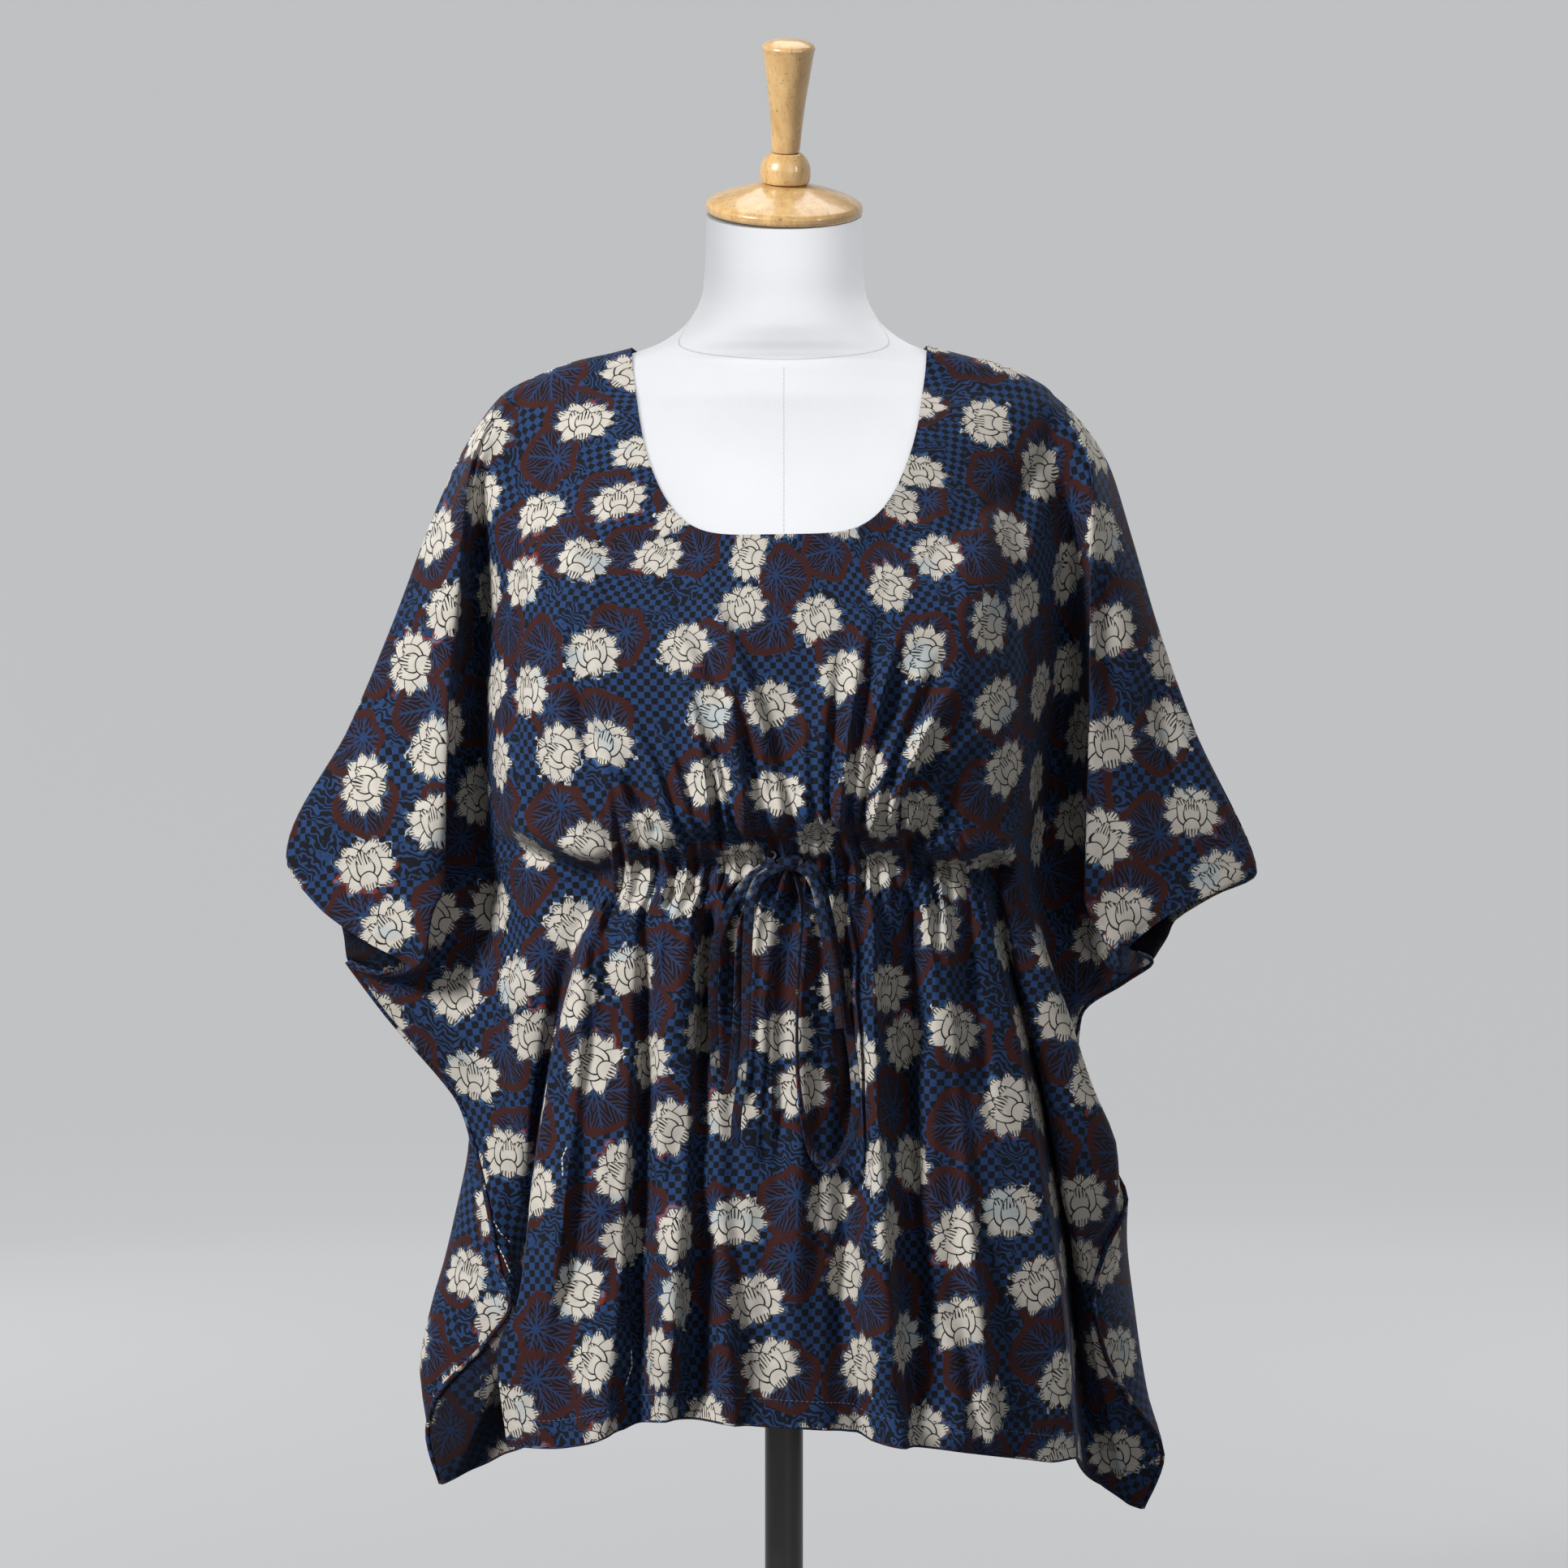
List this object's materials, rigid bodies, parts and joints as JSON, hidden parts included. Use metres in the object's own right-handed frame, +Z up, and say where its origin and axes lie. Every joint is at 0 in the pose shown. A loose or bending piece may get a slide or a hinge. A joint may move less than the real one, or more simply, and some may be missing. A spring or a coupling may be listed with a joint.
{
  "type": "short kaftan on a dress form",
  "caption": "Short loose kaftan with cut-on batwing sleeves, a scoop neck and a waist gathered by a front bow drawstring, worn by a limbless dress form on a round-based pole stand.",
  "frame": {"origin": "middle of the underside of the stand's round base, on the floor", "axes": "+X to the right as seen from in front, +Y from the garment's front to its back, +Z up along the pole"},
  "size_m": [0.704, 0.4, 1.265],
  "materials": {
    "printed_cotton": "matt block-printed cotton, indigo and black check ground with off-white and maroon lotus motifs",
    "drawstring_cotton": "matt, the same printed cotton sewn as a flat tube",
    "form_jersey": "matt off-white jersey",
    "varnished_wood": "satin clear varnish",
    "black_enamel": "satin black"
  },
  "bodies": {
    "root": {"front_panel": "printed_cotton", "back_panel": "printed_cotton", "drawstring_knot": "drawstring_cotton", "drawstring_left_loop": "drawstring_cotton", "drawstring_left_tail": "drawstring_cotton", "drawstring_right_loop": "drawstring_cotton", "drawstring_right_tail": "drawstring_cotton", "form_torso": "form_jersey", "neck_cap": "varnished_wood", "finial_bead": "varnished_wood", "finial": "varnished_wood", "pole": "black_enamel", "base": "black_enamel"}
  },
  "joints": []
}
